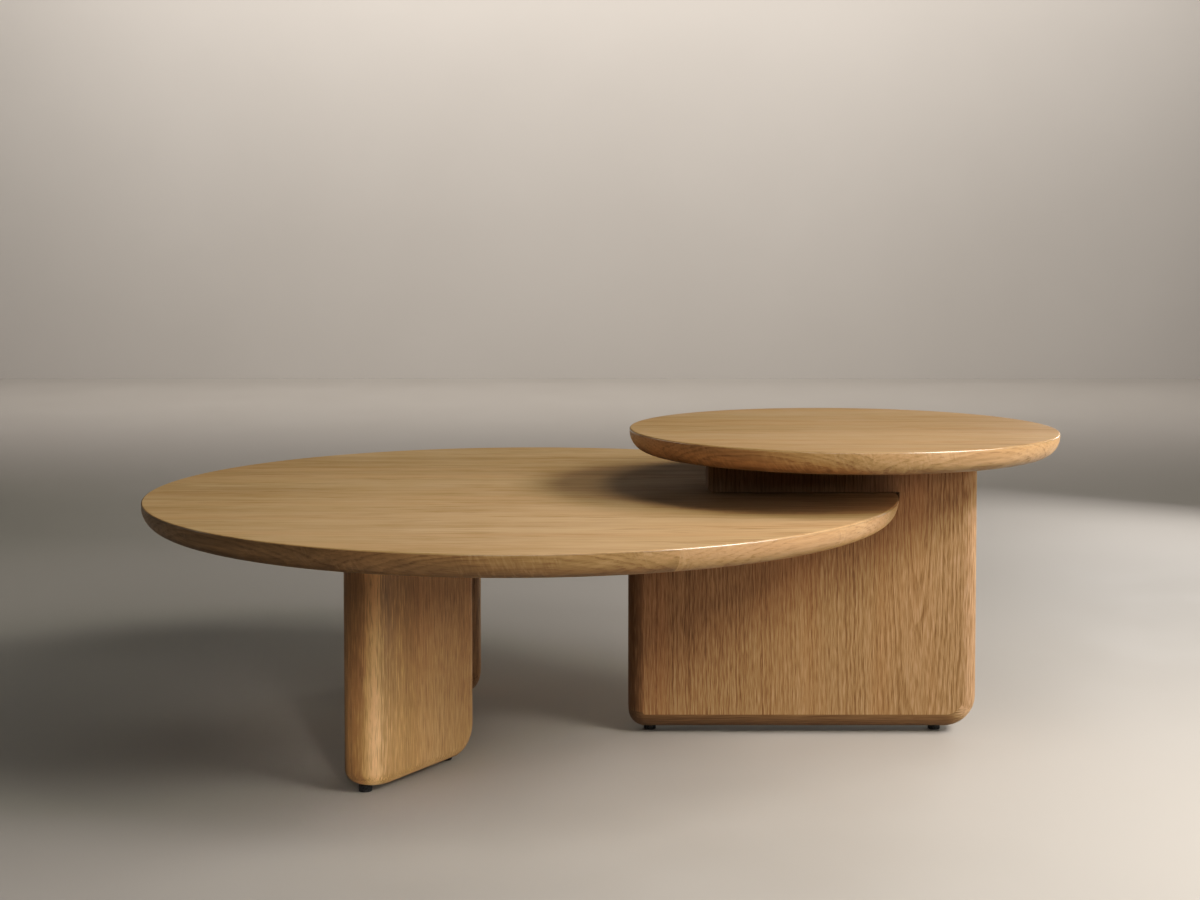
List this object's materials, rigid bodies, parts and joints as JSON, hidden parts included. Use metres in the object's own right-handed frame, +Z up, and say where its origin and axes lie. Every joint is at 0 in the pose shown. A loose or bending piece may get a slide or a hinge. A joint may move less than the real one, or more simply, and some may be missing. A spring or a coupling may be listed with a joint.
{
  "type": "nesting tables",
  "caption": "Pair of round oak tables: a large low top on slab legs, and a small higher top on a notched slab that slides in over and under the large top's rim.",
  "frame": {"origin": "on the floor, under the middle of the outline of both tables as nested", "axes": "+X from the large table towards the small one, +Y away from the viewer in the picture, +Z up"},
  "size_m": [1.2961, 1.0668, 0.437],
  "materials": {
    "oak_top": "satin honey oak veneer",
    "oak_rim": "satin honey oak, solid",
    "oak_leg": "satin honey oak, open grain",
    "board": "raw engineered board",
    "steel": "zinc plated",
    "black_plate": "black powder coat",
    "foot_black": "black, satin gloss",
    "felt": "dark felt"
  },
  "bodies": {
    "large_table": {"front_leg": "oak_leg", "front_leg_plate": "black_plate", "large_top_backer": "oak_top", "large_top_core": "board", "large_top_edge_band": "oak_rim", "large_top_inserts": "steel", "large_top_veneer": "oak_top", "leg_bolts": "steel", "leg_foot_inserts": "steel", "leg_plate_screws": "steel", "rear_leg": "oak_leg", "rear_leg_plate": "black_plate"},
    "small_table": {"notched_slab": "oak_leg", "slab_bolts": "steel", "slab_foot_inserts": "steel", "slab_plate": "black_plate", "slab_plate_screws": "steel", "slot_glide_felt": "felt", "slot_stop_block": "oak_leg", "small_top_backer": "oak_top", "small_top_core": "board", "small_top_edge_band": "oak_rim", "small_top_inserts": "steel", "small_top_veneer": "oak_top"},
    "front_leg_inner_foot": {"front_leg_inner_foot_pad": "foot_black", "front_leg_inner_foot_stem": "steel"},
    "front_leg_outer_foot": {"front_leg_outer_foot_pad": "foot_black", "front_leg_outer_foot_stem": "steel"},
    "rear_leg_inner_foot": {"rear_leg_inner_foot_pad": "foot_black", "rear_leg_inner_foot_stem": "steel"},
    "rear_leg_outer_foot": {"rear_leg_outer_foot_pad": "foot_black", "rear_leg_outer_foot_stem": "steel"},
    "slab_inner_foot": {"slab_inner_foot_pad": "foot_black", "slab_inner_foot_stem": "steel"},
    "slab_outer_foot": {"slab_outer_foot_pad": "foot_black", "slab_outer_foot_stem": "steel"}
  },
  "joints": [
    {"name": "nest_slide", "type": "slide", "parent": "large_table", "child": "small_table", "axis": [1, 0, 0], "range_m": [0, 0.25]},
    {"name": "front_leg_inner_foot_screw", "type": "slide", "parent": "large_table", "child": "front_leg_inner_foot", "axis": [0, 0, -1], "range_m": [0, 0.01]},
    {"name": "front_leg_outer_foot_screw", "type": "slide", "parent": "large_table", "child": "front_leg_outer_foot", "axis": [0, 0, -1], "range_m": [0, 0.01]},
    {"name": "rear_leg_inner_foot_screw", "type": "slide", "parent": "large_table", "child": "rear_leg_inner_foot", "axis": [0, 0, -1], "range_m": [0, 0.01]},
    {"name": "rear_leg_outer_foot_screw", "type": "slide", "parent": "large_table", "child": "rear_leg_outer_foot", "axis": [0, 0, -1], "range_m": [0, 0.01]},
    {"name": "slab_inner_foot_screw", "type": "slide", "parent": "small_table", "child": "slab_inner_foot", "axis": [0, 0, -1], "range_m": [0, 0.01]},
    {"name": "slab_outer_foot_screw", "type": "slide", "parent": "small_table", "child": "slab_outer_foot", "axis": [0, 0, -1], "range_m": [0, 0.01]}
  ]
}
